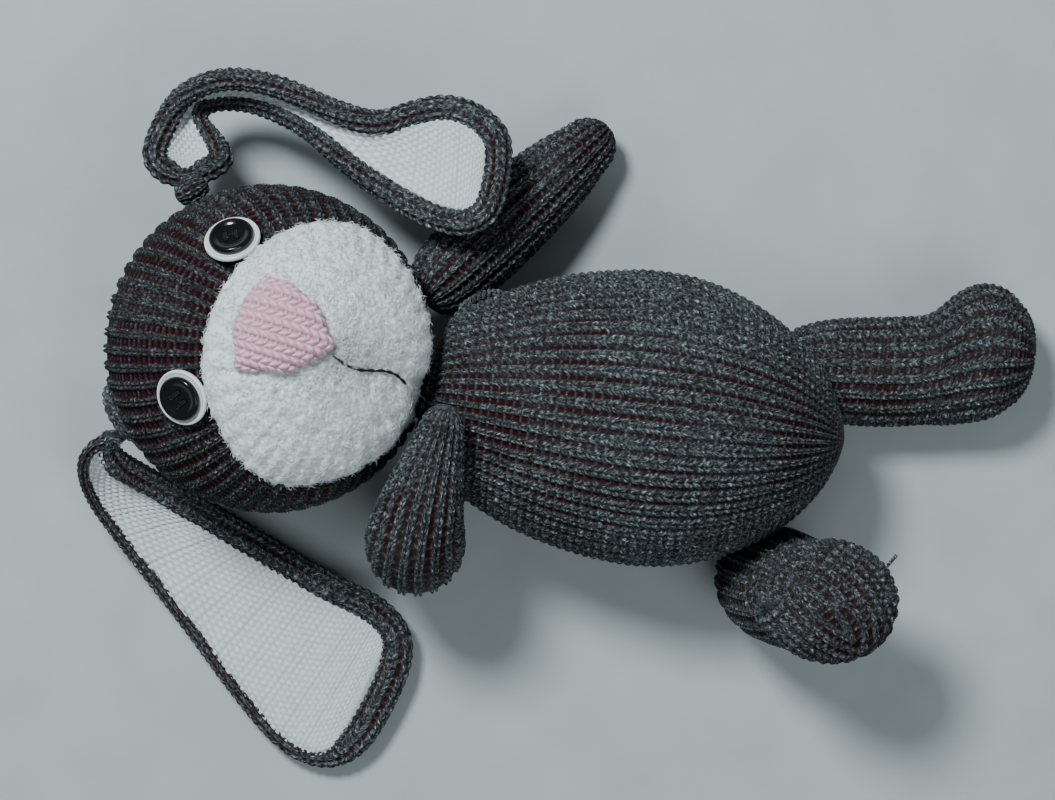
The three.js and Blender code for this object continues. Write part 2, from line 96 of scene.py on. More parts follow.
def spline(values, at, closed=False):
    """The curve or grid through the values, read at positions 0 to 1 along its first axis."""
    values = np.asarray(values, float)
    count = len(values)
    place = np.asarray(at, float) * (count if closed else count - 1)
    start = np.floor(place).astype(int)
    if not closed:
        start = np.clip(start, 0, count - 2)
    part = (place - start).reshape((-1,) + (1,) * (values.ndim - 1))

    def near(step):
        index = start + step
        return values[index % count if closed else np.clip(index, 0, count - 1)]

    before, here, after, beyond = near(-1), near(0), near(1), near(2)
    return here + 0.5 * part * (after - before + part * (
        2 * before - 5 * here + 4 * after - beyond + part * (3 * (here - after) + beyond - before)))


def lengths(points, closed=False):
    """The distance along a curve to each of its points, and its whole length."""
    steps = np.linalg.norm(np.diff(points, axis=0, append=points[:1] if closed else points[-1:]), axis=1)
    along = np.concatenate([[0], np.cumsum(steps)])
    return along[:-1], along[-1]


def evenly(points, count, closed=False):
    """A curve's points moved to be the same distance apart."""
    fine = spline(points, np.linspace(0, 1, 12 * len(points), endpoint=not closed), closed)
    along, total = lengths(fine, closed)
    wanted = np.linspace(0, total, count, endpoint=not closed)
    if closed:
        fine, along = np.vstack([fine, fine[:1]]), np.append(along, total)
    return np.stack([np.interp(wanted, along, fine[:, k]) for k in range(fine.shape[1])], axis=1)


def soften(values, width, closed=False):
    """Values along the first axis averaged with their neighbours."""
    reach = np.arange(-3 * width, 3 * width + 1)
    weights = np.exp(-0.5 * (reach / width) ** 2)
    mode = "wrap" if closed else "edge"
    padding = [(3 * width, 3 * width)] + [(0, 0)] * (values.ndim - 1)
    wide = np.pad(values, padding, mode=mode)
    total = sum(w * wide[i:i + len(values)] for i, w in enumerate(weights))
    return total / weights.sum()


def bumps(points, size, seed=0.0):
    """Smooth noise from -1 to 1 at each point, over a size in millimetres."""
    flat = points.reshape(-1, 3) / size + seed
    values = [noise.noise(Vector(p)) for p in flat]
    return np.array(values).reshape(points.shape[:-1])


# ---------------------------------------------------------------- meshes
def grid_faces(rows, columns, closed_rows=False):
    """The quads of a grid whose columns go all the way round."""
    down = np.arange(rows if closed_rows else rows - 1)
    i, j = (axis.ravel() for axis in np.meshgrid(down, np.arange(columns), indexing="ij"))
    below, beside = (i + 1) % rows, (j + 1) % columns
    return np.stack([i * columns + j, i * columns + beside, below * columns + beside,
                     below * columns + j], axis=1)


def add_mesh(name, points, faces, attributes=None, smooth_faces=True):
    """An object from points in millimetres. The attributes are values for its points."""
    mesh = bpy.data.meshes.new(name)
    mesh.from_pydata(to_row(points), [], faces)
    for label, values in (attributes or {}).items():
        vector = values.ndim == 2
        layer = mesh.attributes.new(label, "FLOAT_VECTOR" if vector else "FLOAT", "POINT")
        layer.data.foreach_set("vector" if vector else "value", values.astype(np.float32).ravel())
    if smooth_faces:
        mesh.shade_smooth()
    mesh.update()
    obj = bpy.data.objects.new(name, mesh)
    bpy.context.scene.collection.objects.link(obj)
    return obj


def signed_volume(points, faces):
    a, b, c = points[faces[:, 0]], points[faces[:, 1]], points[faces[:, 2]]
    return np.einsum("ij,ij->", a - points.mean(0), np.cross(b - points.mean(0), c - points.mean(0)))


def close_grid(grid, closed_rows=False):
    """Points and faces of a grid closed round its columns, with a point at the middle of each end."""
    rows, columns = grid.shape[:2]
    points = grid.reshape(-1, 3)
    faces = [list(f) for f in grid_faces(rows, columns, closed_rows)]
    if not closed_rows:
        first, last = len(points), len(points) + 1
        points = np.vstack([points, grid[0].mean(0), grid[-1].mean(0)])
        base = (rows - 1) * columns
        for j in range(columns):
            beside = (j + 1) % columns
            faces.append([beside, j, first])
            faces.append([base + j, base + beside, last])
    quads = np.array([f[:3] for f in faces])
    if signed_volume(points, quads) < 0:
        faces = [f[::-1] for f in faces]
    return points, faces


def grid_normals(grid, closed_rows=False):
    """The way out of a closed grid at each of its points."""
    across = np.roll(grid, -1, axis=1) - np.roll(grid, 1, axis=1)
    if closed_rows:
        down = np.roll(grid, -1, axis=0) - np.roll(grid, 1, axis=0)
    else:
        down = np.gradient(grid, axis=0)
    normals = unit(np.cross(down, across))
    outwards = grid - grid.mean(axis=1, keepdims=True)
    if (normals * outwards).sum() < 0:
        normals = -normals
    return normals


CLOTH_PRESSURE = 4.0
CLOTH_FRAMES = 20


def inflate(grid, cap):
    """Blows up a closed grid of cloth and moves no point further than the cap, in millimetres."""
    points, faces = close_grid(grid)
    obj = add_mesh("inflating", points, faces)
    cloth = obj.modifiers.new("Cloth", "CLOTH")
    settings = cloth.settings
    settings.quality = 5
    settings.mass = 0.2
    settings.tension_stiffness = 20
    settings.compression_stiffness = 20
    settings.bending_stiffness = 0.6
    settings.use_pressure = True
    settings.uniform_pressure_force = CLOTH_PRESSURE
    settings.effector_weights.gravity = 0
    cloth.point_cache.frame_start = 1
    cloth.point_cache.frame_end = CLOTH_FRAMES
    scene = bpy.context.scene
    for number in range(1, CLOTH_FRAMES + 1):
        scene.frame_set(number)
    swollen = obj.evaluated_get(bpy.context.evaluated_depsgraph_get()).data
    after = np.empty(3 * len(points))
    swollen.vertices.foreach_get("co", after)
    moved = (after.reshape(-1, 3) - to_row(points))[:grid.shape[0] * grid.shape[1]] * 1000
    bpy.data.objects.remove(obj, do_unlink=True)
    scene.frame_set(1)
    distance = np.linalg.norm(moved, axis=1, keepdims=True)
    moved *= np.minimum(1, cap / np.maximum(distance, 1e-6))
    return grid + moved.reshape(grid.shape)


# ---------------------------------------------------------------- knitting
def stitches(u, v, gap, wale=WALE, course=COURSE):
    """Stockinette at wale u and course v, with a gap between wales as a share of their width.

    Gives the height of the yarn, how much painted shade each point gets in the valleys between and
    along the yarn, both from 0 to 1, and a place along and across the twisted yarn for its colour.
    """
    across = np.abs(u - np.floor(u) - 0.5) * 2
    leg = v - 0.75 * across
    on_yarn = np.clip(across / (1 - gap), 0, 1)
    profile = np.sqrt(np.clip(1 - (2 * on_yarn - 1) ** 2, 0, 1))
    lobe = np.abs(np.sin(math.pi * leg)) ** 0.7
    height = np.maximum(profile * (0.35 + 0.65 * lobe), 0.3 * (1 - on_yarn))
    rung = smooth(np.abs(np.sin(math.pi * (v + 0.2))), 0.8, 1.0)
    height = np.maximum(height, 0.3 * rung)
    # painted shade: darkest between the wales, down the middle of each wale where its legs meet, and
    # between the loops
    between = smooth(across, 0.9 - 1.1 * gap, 1.06 - gap) * (1 - 0.55 * rung)
    valley_shade = np.maximum(between, 0.55 * (1 - smooth(across, 0.0, 0.26)))
    valley_shade = np.maximum(valley_shade, 0.7 * (1 - smooth(lobe, 0.1, 0.7)))
    ply = np.stack([across * wale * 0.5 - 0.55 * v * course, 0.55 * across * wale * 0.5 + v * course,
                    3 * np.sin(0.37 * u)], axis=-1)
    return height, valley_shade, ply


def knit_surface(name, grid, wales, courses, gap, depth=STITCH_DEPTH, closed_rows=False, field=None):
    """Refines a closed grid, knits it and makes its object.

    wales and courses count the stitches round and along it. gap is a number, or a function of the
    refined points. field, if given, turns the refined points into wales and courses of their own.
    """
    rows, columns = int(courses * PER_COURSE), int(wales * PER_WALE)
    dense = spline(grid, np.linspace(0, 1, rows, endpoint=not closed_rows), closed_rows)
    dense = spline(dense.swapaxes(0, 1), np.arange(columns) / columns, True).swapaxes(0, 1)
    normals = grid_normals(dense, closed_rows)
    u = np.broadcast_to(np.arange(columns) / PER_WALE, (rows, columns)).copy()
    v = np.broadcast_to((np.arange(rows) / rows * int(courses))[:, None], (rows, columns)).copy()
    if field:
        u, v = field(dense, u, v)
    width = np.linalg.norm(np.roll(dense, -1, axis=1) - dense, axis=2) * PER_WALE
    width = np.minimum(width, np.roll(width, PER_WALE, axis=1))
    if field:
        width = np.full_like(width, WALE)
    gaps = gap(dense) if callable(gap) else gap
    gaps = gaps + 0.12 * (1 - smooth(width, 2.4, WALE))
    height, valley_shade, ply = stitches(u, v, gap=gaps)
    wander = bumps(dense, 9, 3.1)
    depths = depth * smooth(width, 0.5, 3.0) * (1 + 0.18 * wander)
    # the painted shade in the valleys is made stronger or weaker at random over the surface
    valley_shade = np.clip(valley_shade * (0.75 + 0.5 * smooth(bumps(dense, 22, 8.7), -0.4, 0.5)), 0, 1)
    dense = dense + normals * ((height - 0.55) * depths)[..., None]
    dense[..., 2] = np.maximum(dense[..., 2], FLOOR_GAP)
    points, faces = close_grid(dense, closed_rows)
    extra = len(points) - rows * columns
    attributes = {
        "valley_shade": np.concatenate([valley_shade.ravel(), [END_VALLEY_SHADE] * extra]),
        "ply": np.vstack([ply.reshape(-1, 3), np.zeros((extra, 3))]),
    }
    return add_mesh(name, points, faces, attributes)


# ---------------------------------------------------------------- materials
def material(name):
    made = bpy.data.materials.new(name)
    made.use_nodes = True
    return made, made.node_tree.nodes, made.node_tree.links, made.node_tree.nodes["Principled BSDF"]


def ramp(nodes, stops):
    node = nodes.new("ShaderNodeValToRGB")
    elements = node.color_ramp.elements
    while len(elements) < len(stops):
        elements.new(0.5)
    for element, (place, colour) in zip(elements, stops):
        element.position = place
        element.color = (*colour, 1)
    return node


def noise_node(nodes, scale, detail=2.0, roughness=0.5):
    node = nodes.new("ShaderNodeTexNoise")
    node.inputs["Scale"].default_value = scale
    node.inputs["Detail"].default_value = detail
    node.inputs["Roughness"].default_value = roughness
    return node


def attribute(nodes, name):
    node = nodes.new("ShaderNodeAttribute")
    node.attribute_name = name
    return node


PLY_SCALE, FUZZ_SCALE, GRAIN_SCALE = 1.5, 900, 700
YARN_GRAIN = 0.35  # the share of the fine grain in the yarn's shades
YARN_ROUGHNESS = 0.8


def yarn_material(name, stops, valley_shade_colour=None, valley_shade_share=1.0, sheen=0.25, bump=0.35,
                  plies=True, gloss=0.3):
    """Yarn of several shades, which run along each stitch if it has plies. Valleys get a painted shade
    colour.
    """
    made, nodes, links, shader = material(name)
    place = nodes.new("ShaderNodeTexCoord")
    strands = noise_node(nodes, PLY_SCALE if plies else FUZZ_SCALE, 3.0, 0.62)
    if plies:
        stretch = nodes.new("ShaderNodeMapping")
        stretch.inputs["Scale"].default_value = (1.5, 0.4, 1.0)
        links.new(attribute(nodes, "ply").outputs["Vector"], stretch.inputs["Vector"])
        links.new(stretch.outputs["Vector"], strands.inputs["Vector"])
    else:
        links.new(place.outputs["Object"], strands.inputs["Vector"])
    grain = noise_node(nodes, GRAIN_SCALE, 3.0)
    links.new(place.outputs["Object"], grain.inputs["Vector"])
    blend = nodes.new("ShaderNodeMix")
    blend.data_type = "FLOAT"
    blend.inputs["Factor"].default_value = YARN_GRAIN
    links.new(strands.outputs["Fac"], blend.inputs["A"])
    links.new(grain.outputs["Fac"], blend.inputs["B"])
    shades = ramp(nodes, stops)
    links.new(blend.outputs["Result"], shades.inputs["Fac"])
    colour = shades.outputs["Color"]
    # painted shade: the valley value mixes the valley colour into the yarn
    if valley_shade_colour:
        valley_shade_mix = nodes.new("ShaderNodeMix")
        valley_shade_mix.data_type = "RGBA"
        valley_shade_mix.inputs["B"].default_value = (*valley_shade_colour, 1)
        share = nodes.new("ShaderNodeMath")
        share.operation = "MULTIPLY"
        share.use_clamp = True
        share.inputs[1].default_value = valley_shade_share
        links.new(attribute(nodes, "valley_shade").outputs["Fac"], share.inputs[0])
        links.new(share.outputs["Value"], valley_shade_mix.inputs["Factor"])
        links.new(colour, valley_shade_mix.inputs["A"])
        colour = valley_shade_mix.outputs["Result"]
    links.new(colour, shader.inputs["Base Color"])
    shader.inputs["Roughness"].default_value = YARN_ROUGHNESS
    shader.inputs["Sheen Weight"].default_value = sheen
    shader.inputs["Sheen Roughness"].default_value = 0.5
    shader.inputs["Specular IOR Level"].default_value = gloss
    relief = nodes.new("ShaderNodeBump")
    relief.inputs["Strength"].default_value = bump
    relief.inputs["Distance"].default_value = 0.0006
    links.new(blend.outputs["Result"], relief.inputs["Height"])
    links.new(relief.outputs["Normal"], shader.inputs["Normal"])
    return made


GREY_STOPS = [
    (0.35, (0.003, 0.004, 0.005)), (0.45, (0.016, 0.020, 0.023)), (0.53, (0.068, 0.082, 0.089)),
    (0.61, (0.20, 0.23, 0.24)), (0.71, (0.68, 0.71, 0.72)),
]
WHITE_STOPS = [
    (0.28, (0.50, 0.53, 0.54)), (0.45, (0.74, 0.77, 0.78)), (0.6, (0.88, 0.90, 0.90)),
    (0.75, (0.96, 0.97, 0.97)),
]
PINK_STOPS = [
    (0.25, (0.50, 0.24, 0.30)), (0.42, (0.76, 0.45, 0.53)), (0.58, (0.90, 0.62, 0.70)),
    (0.74, (0.97, 0.84, 0.88)),
]
# painted shade: a very dark maroon put into the valleys between stitches
MAROON_VALLEY_SHADE = (0.020, 0.002, 0.003)
# painted shade: the head's yarn is the grey yarn made 25% darker, a shaded copy of the same yarn
HEAD_SHADED_STOPS = [(place, tuple(0.75 * c for c in shade)) for place, shade in GREY_STOPS]

grey_yarn = yarn_material("grey_yarn", GREY_STOPS, MAROON_VALLEY_SHADE, sheen=0.05, gloss=0.12)
head_yarn_painted_shade = yarn_material("head_yarn_painted_shade", HEAD_SHADED_STOPS, MAROON_VALLEY_SHADE, sheen=0.0, gloss=0.08)
grey_coil = yarn_material("grey_coil", GREY_STOPS, plies=False)
# painted shade: darker pink and darker grey put into the valleys of the nose and the ear lining
pink_yarn = yarn_material("pink_yarn", PINK_STOPS, (0.42, 0.14, 0.20), 0.75, sheen=0.3)
white_knit = yarn_material("white_knit", WHITE_STOPS, (0.30, 0.34, 0.35), 0.8, sheen=0.3)
white_fluff = yarn_material("white_fluff", WHITE_STOPS, sheen=0.4, bump=0.6, plies=False)
dark_thread = yarn_material("dark_thread", [
    (0.3, (0.004, 0.003, 0.004)), (0.6, (0.014, 0.010, 0.012)), (0.8, (0.06, 0.05, 0.055))],
    sheen=0.05, plies=False)


def moulded(name, colour, roughness, coat=0.0):
    """Moulded plastic with a faint unevenness in its gloss."""
    made, nodes, links, shader = material(name)
    place = nodes.new("ShaderNodeTexCoord")
    wear = noise_node(nodes, 350, 3.0)
    links.new(place.outputs["Object"], wear.inputs["Vector"])
    tone = ramp(nodes, [(0.3, tuple(0.86 * c for c in colour)), (0.7, colour)])
    links.new(wear.outputs["Fac"], tone.inputs["Fac"])
    links.new(tone.outputs["Color"], shader.inputs["Base Color"])
    rough = nodes.new("ShaderNodeMapRange")
    rough.inputs["To Min"].default_value = roughness * 0.7
    rough.inputs["To Max"].default_value = roughness * 1.4
    links.new(wear.outputs["Fac"], rough.inputs["Value"])
    links.new(rough.outputs["Result"], shader.inputs["Roughness"])
    shader.inputs["Coat Weight"].default_value = coat
    shader.inputs["Coat Roughness"].default_value = 0.05
    return made


white_plastic = moulded("white_plastic", (0.86, 0.88, 0.87), 0.22, 0.3)
black_plastic = moulded("black_plastic", (0.003, 0.0035, 0.004), 0.16)


def dress(obj, mat, body, slot, *nodes, padding=None):
    """Gives a piece its material and body, and hides the CAD nodes it stands for."""
    obj.data.materials.append(mat)
    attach(obj, body)
    if nodes:
        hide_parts(*nodes)


# ---------------------------------------------------------------- body
def lathe(outline, centre_height, columns):
    turn = np.arange(columns) / columns * 2 * math.pi + math.pi / 2
    along, radius = outline[:, 0], outline[:, 1]
    return np.stack([
        np.broadcast_to(along[:, None], (len(outline), columns)),
        radius[:, None] * np.cos(turn),
        centre_height + radius[:, None] * np.sin(turn),
    ], axis=2)


SWELL = 1.6  # how much smaller a cover starts before it is blown up
BODY_WALES = 54
HEAD_WALES, HEAD_COURSES, HEAD_GAP = 58, 58, 0.5


def make_body():
    outline = evenly(np.array(BODY_OUTLINE, float), 40)
    outline[:, 1] -= SWELL * smooth(outline[:, 1], 0, 12)
    grid = lathe(outline, BODY_HEIGHT, 72)
    grid = inflate(grid, 4)
    length = lengths(outline)[1]

    def loosened(points):
        """The gaps between the wales are widest where the cover gathers at the neck and the seat."""
        along = points[..., 0] + 0.25 * points[..., 1]
        return 0.2 + 0.22 * (1 - smooth(along, -45, 12)) + 0.18 * smooth(along, 30, 62)

    body = knit_surface("body", grid, BODY_WALES, length / COURSE, gap=loosened)
    dress(body, grey_yarn, "body", "grey_yarn", "body_cover", "body_stuffing", padding=0.9)


# ---------------------------------------------------------------- head
brow_out = unit(BROW_OUT)
left_out = unit(np.cross(CHIN_OUT, brow_out))
chin_out = unit(np.cross(brow_out, left_out))


def head_reach(way):
    flat = (way[..., 0] ** 2 + way[..., 1] ** 2) / HEAD_RADIUS ** 2
    return 1 / np.sqrt(flat + way[..., 2] ** 2 / HEAD_DEPTH ** 2)


def face_way(down, left):
    """The way out of the head at degrees down from the brow and to the bunny's left."""
    down, left = np.radians(down), np.radians(left)
    return ((np.cos(down) * np.cos(left))[..., None] * brow_out
            + (np.sin(down) * np.cos(left))[..., None] * chin_out
            + np.sin(left)[..., None] * left_out)


def on_face(down, left, height):
    way = face_way(np.asarray(down, float), np.asarray(left, float))
    return HEAD_CENTRE + way * (head_reach(way) + height)[..., None]


def muzzle_height(down, left):
    away = np.hypot((down - MUZZLE["down"]) / MUZZLE["half_down"], left / MUZZLE["half_left"])
    dome = MUZZLE["edge"] + (MUZZLE["crown"] - MUZZLE["edge"]) * np.sqrt(np.clip(1 - away ** 2, 0, 1))
    split = smooth(down, CREASE["from"], CREASE["full"])
    crease = CREASE["depth"] * split * np.exp(-(left / CREASE["half_width"]) ** 2)
    return np.maximum(dome - crease, MUZZLE["edge"] - 1)


def make_head():
    """Its wales run from the muzzle to the back of the head."""
    axis = face_way(np.array(MUZZLE["down"]), np.array(0.0))
    up = np.cross(axis, left_out)
    polar = np.radians(np.linspace(8, 178.6, 38))[:, None]
    turn = (np.arange(72) / 72 * 2 * math.pi)[None, :]
    way = (np.cos(polar)[..., None] * axis + (np.sin(polar) * np.cos(turn))[..., None] * left_out
           + (np.sin(polar) * np.sin(turn))[..., None] * up)
    grid = HEAD_CENTRE + way * (head_reach(way) - SWELL)[..., None]
    grid = inflate(grid, 4)
    head = knit_surface("head", grid, HEAD_WALES, HEAD_COURSES, gap=HEAD_GAP)
    dress(head, head_yarn_painted_shade, "head", "grey_yarn", "head_cover", "head_stuffing", padding=0.95)


def face_patch(spec, reach_down, reach_left, rows, columns, outline):
    """Shares of the way out, turns, and degrees down and left over a rounded patch on the face."""
    share = np.linspace(0.01, 1, rows)[:, None]
    turn = (np.arange(columns) / columns * 2 * math.pi)[None, :]
    bend = outline(turn)
    down = spec["down"] + share * bend * reach_down * np.cos(turn)
    left = spec.get("left", 0) + share * bend * reach_left * np.sin(turn)
    return share + 0 * turn, turn + 0 * share, down, left


MUZZLE_RIBS = 34
UNDER_MUZZLE = 1.5  # how far its back sinks below the head's surface
FIBRES = {"count": 9000, "length": 3.6, "thick": 0.11, "rise": 0.225, "seed": 7}


def make_muzzle():
    rows, columns = ((90, 540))

    def serrated(turn):
        return 1 + 0.014 * np.abs(np.sin(MUZZLE_RIBS * turn)) + 0.012 * np.sin(5 * turn + 1)

    share, turn, down, left = face_patch(MUZZLE, MUZZLE["half_down"], MUZZLE["half_left"], rows,
                                         columns, serrated)
    lift = muzzle_height(down, left)
    flat = on_face(down, left, lift)
    ribs = 0.35 * np.sin(MUZZLE_RIBS * turn) * smooth(share, 0.35, 0.8)
    fluff = 0.55 * bumps(flat, 2.6, 1.7) + 0.5 * bumps(flat, 1.3, 5.1) + 0.8 * bumps(flat, 7, 2.2)
    top = on_face(down, left, lift + ribs + fluff)
    under = on_face(down[::-3], left[::-3], -UNDER_MUZZLE)
    grid = np.vstack([top, on_face(down[-1:], left[-1:], 0.5 * lift[-1:]), under])
    points, faces = close_grid(grid)
    muzzle = add_mesh("muzzle", points, faces)
    dress(muzzle, white_fluff, "head", "white_yarn", "muzzle_cover", "muzzle_stuffing", padding=0.7)
    outward = grid_normals(np.vstack([top, top[-1:] - 0.01]))[:-1]
    make_fibres(top.reshape(-1, 3), outward.reshape(-1, 3))


def make_fibres(roots, normals):
    """Short fibres that lie on the muzzle, as thin tapered three-sided spikes."""
    count, thick, rise = FIBRES["count"], FIBRES["thick"], FIBRES["rise"]
    random = np.random.default_rng(FIBRES["seed"])
    pick = random.integers(0, len(roots), count)
    base, out = roots[pick], normals[pick]
    drift = unit(np.cross(out, random.normal(size=(count, 3))))
    reach = FIBRES["length"] * random.uniform(0.35, 1.0, (count, 1))
    sideways = unit(np.cross(out, drift))
    rings = []
    for along, lift, width in [(0.0, 0.0, 1.0), (0.55, rise, 0.8), (1.0, rise, 0.0)]:
        middle = base + drift * reach * along + out * (0.1 + reach * lift)
        for k in range(3):
            angle = 2 * math.pi * k / 3
            rings.append(middle + width * thick * (sideways * math.cos(angle) + out * math.sin(angle)))
    points = np.stack(rings[:7], axis=1).reshape(-1, 3)
    start = (np.arange(count) * 7)[:, None]
    faces = []
    for k in range(3):
        n = (k + 1) % 3
        faces += (start + np.array([k, n, 3 + n, 3 + k])).tolist()
        faces += (start + np.array([3 + k, 3 + n, 6])).tolist()
    dress(add_mesh("muzzle_fibres", points, faces), white_fluff, "head", "white_yarn")


NOSE_WALE, NOSE_COURSE = 5.4, 3.2


def nose_outline(turn):
    """A triangle with round corners, as the reach at each turn."""
    third = 2 * math.pi / 3
    corner = np.mod(turn, third) - third / 2
    straight = math.cos(math.pi / 3) / np.cos(corner)
    return (0.42 * straight + 0.58 * 0.74) * 1.12 + 0.02 * np.sin(7 * turn + 0.6)


def make_nose():
    rows, columns = ((90, 300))
    share, _, down, left = face_patch(NOSE, NOSE["reach"], NOSE["reach"], rows, columns, nose_outline)
    dome = np.sqrt(np.clip(1 - share ** 2.6, 0, 1))
    lift = (muzzle_height(down, left) + NOSE["edge"] + (NOSE["crown"] - NOSE["edge"]) * dome
            - 1.5 * smooth(share, 0.85, 1))
    pitch = NOSE_WALE / (math.radians(1) * (HEAD_RADIUS + 12))
    u, v = (left - NOSE["left"]) / pitch, (down - NOSE["down"]) / (0.6 * pitch)
    height, valley_shade, ply = stitches(u, v, 0.12, NOSE_WALE, NOSE_COURSE)
    uneven = 0.5 * bumps(on_face(down, left, lift), 6, 2.9)
    top = on_face(down, left, lift + (height - 0.5) * 2.4 + uneven)
    under = on_face(down[::-4], left[::-4], muzzle_height(down[::-4], left[::-4]) - 1)
    grid = np.vstack([top, under])
    points, faces = close_grid(grid)
    pad = len(points) - valley_shade.size
    # the nose's underside gets full painted shade
    attributes = {
        "valley_shade": np.concatenate([valley_shade.ravel(), np.ones(pad)]),
        "ply": np.vstack([ply.reshape(-1, 3), np.zeros((pad, 3))]),
    }
    nose = add_mesh("nose_pad", points, faces, attributes)
    dress(nose, pink_yarn, "head", "pink_yarn", "nose", padding=0.8)


def strand(name, points, radius, closed=False):
    """A round yarn along points in millimetres, or one along each list of points, as a curve."""
    data = bpy.data.curves.new(name, "CURVE")
    data.dimensions = "3D"
    data.bevel_depth = radius * 0.001
    data.bevel_resolution = 2
    data.use_fill_caps = True
    for line in points if isinstance(points, list) else [points]:
        spline_data = data.splines.new("POLY")
        spline_data.points.add(len(line) - 1)
        row = to_row(line)
        spline_data.points.foreach_set("co", np.hstack([row, np.ones((len(row), 1))]).ravel())
        spline_data.use_cyclic_u = closed
        spline_data.use_smooth = True
    obj = bpy.data.objects.new(name, data)
    bpy.context.scene.collection.objects.link(obj)
    return obj


def make_mouth():
    t = np.linspace(0, 1, 60)
    down = MOUTH["from"] + (MOUTH["to"] - MOUTH["from"]) * t
    left = MOUTH["wave"] * np.sin(2 * math.pi * t) + 0.5
    line = on_face(down, left, muzzle_height(down, left) + 0.9)
    out = unit(line - HEAD_CENTRE)
    side = unit(np.cross(np.gradient(line, axis=0), out))
    plies = []
    for start in (0, math.pi):
        twist = (26 * t + start)[:, None]
        plies.append(line + 0.25 * (side * np.cos(twist) + out * np.sin(twist)))
    dress(strand("mouth_line", plies, 0.33), dark_thread, "head", "dark_thread", "mouth_thread")


# ---------------------------------------------------------------- eyes
def turned(profile, centre, axis, columns=64):
    """Points and faces of a closed shape turned about an axis, from [along, radius] points."""
    profile = np.array(profile, float)
    side = unit(np.cross(axis, [0.0, 0.0, 1.0]))
    up = np.cross(axis, side)
    turn = (np.arange(columns) / columns * 2 * math.pi)[None, :, None]
    grid = centre + profile[:, :1, None] * axis + profile[:, 1:, None] * (
        np.cos(turn) * side + np.sin(turn) * up)
    return close_grid(grid)


def rounded(profile):
    """The profile with its corners rounded off."""
    points = np.array(profile, float)
    line = [points[0]]
    for before, here, after in zip(points[:-2], points[1:-1], points[2:]):
        for t in np.linspace(0, 1, 5):
            start, end = here + 0.3 * (before - here), here + 0.3 * (after - here)
            line.append((1 - t) ** 2 * start + 2 * t * (1 - t) * here + t * t * end)
    line.append(points[-1])
    return np.array(line)


HOLE_PLACE, HOLE_RADIUS = 1.9, 0.95  # the button's four holes
HOLE_PLACES = (-HOLE_PLACE, HOLE_PLACE)


def make_eye(side, left):
    base = on_face(np.array(EYE_DOWN), np.array(left), np.array(0.0))
    out = unit(base - HEAD_CENTRE)
    base = base + out * 0.4
    disc = rounded([
        (-0.2, 0.3), (-0.2, 8.5), (0.3, 9.9), (1.0, 10.1), (1.9, 9.9), (2.1, 9.3), (1.5, 8.4),
        (1.4, 0.3)])
    points, faces = turned(disc, base, out)
    dress(add_mesh(f"{side}_eye_rim", points, faces), white_plastic, "head", "white_plastic",
          f"{side}_eye_disc")
    button = rounded([
        (1.6, 0.3), (1.6, 7.3), (2.2, 8.0), (3.2, 8.0), (4.0, 7.5), (4.2, 6.7), (3.8, 5.6),
        (3.4, 4.9), (3.3, 3.0), (3.3, 0.3)])
    points, faces = turned(button, base, out)
    black = add_mesh(f"{side}_eye_black", points, faces)
    black.data.materials.append(black_plastic)
    across = unit(np.cross(out, [0.0, 0.0, 1.0]))
    along = np.cross(out, across)
    drills = []
    for x in HOLE_PLACES:
        for y in HOLE_PLACES:
            drills.append(turned([(2.9, 0.1), (2.9, HOLE_RADIUS), (5, HOLE_RADIUS), (5, 0.1)],
                                 base + across * x + along * y, out, 20))
    offset, tool_points, tool_faces = 0, [], []
    for points, faces in drills:
        tool_points.append(points)
        tool_faces += [[i + offset for i in face] for face in faces]
        offset += len(points)
    tool = add_mesh("drills", np.vstack(tool_points), tool_faces, smooth_faces=False)
    cut = black.modifiers.new("Holes", "BOOLEAN")
    cut.object = tool
    cut.operation = "DIFFERENCE"
    cut.solver = "EXACT"
    drilled = bpy.data.meshes.new_from_object(
        black.evaluated_get(bpy.context.evaluated_depsgraph_get()))
    black.modifiers.clear()
    black.data = drilled
    bpy.data.objects.remove(tool, do_unlink=True)
    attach(black, "head")
    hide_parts(f"{side}_eye_button")
    stitch_lines = []
    for x in HOLE_PLACES:
        for shift in (-0.35, 0.35):
            t = np.linspace(-1, 1, 12)
            height = 3.2 + 0.5 * (1 - t ** 4)
            stitch_lines.append(base + out * height[:, None] + across * (x + shift)
                                + along * (2.0 * t)[:, None])
    dress(strand(f"{side}_eye_stitches", stitch_lines, 0.26), dark_thread, "head", "dark_thread",
          f"{side}_eye_thread")


# ---------------------------------------------------------------- ears
EARS = {
    "left": {
        "outer": [
            (-182, 64, 53), (-193, 73, 52), (-192, 86, 51), (-185, 100, 50), (-168, 109, 51),
            (-148, 109, 52), (-127, 104, 53), (-109, 101, 55), (-97, 106, 56), (-82, 110, 57),
            (-66, 105, 58), (-56, 94, 59)],
        "inner": [
            (-170, 67, 53), (-160, 77, 47), (-167, 87, 38), (-177, 94, 30), (-172, 100, 26),
            (-156, 100, 28), (-136, 91, 36), (-118, 77, 46), (-98, 66, 54), (-82, 60, 57),
            (-68, 60, 58), (-57, 70, 59)],
        "trough": 3, "facing": -1, "rims": (1.0, 1.1, 1.0),
    },
    "right": {
        "outer": [
            (-200, -30, 50), (-206, -41, 44), (-203, -56, 26), (-187, -76, 13), (-163, -102, 8),
            (-141, -126, 7.5), (-119, -145, 7.5), (-98, -147, 8), (-84, -134, 9)],
        "inner": [
            (-189, -25, 50), (-191, -34, 42), (-175, -43, 26), (-153, -53, 17), (-131, -63, 14),
            (-109, -73, 12), (-88, -81, 11), (-76, -94, 10.5), (-76, -112, 10)],
        "trough": 2, "facing": 1, "rims": (0.5, 1.35, 1.2),
    },
}
RIM_RADIUS, RIM_HEIGHT = 4.3, 3.7
RIM_WALES, RIM_COURSE, RIM_DEPTH = 5, 3.3, 1.6
TIP_LENGTH = 14  # how much of an ear its round end takes


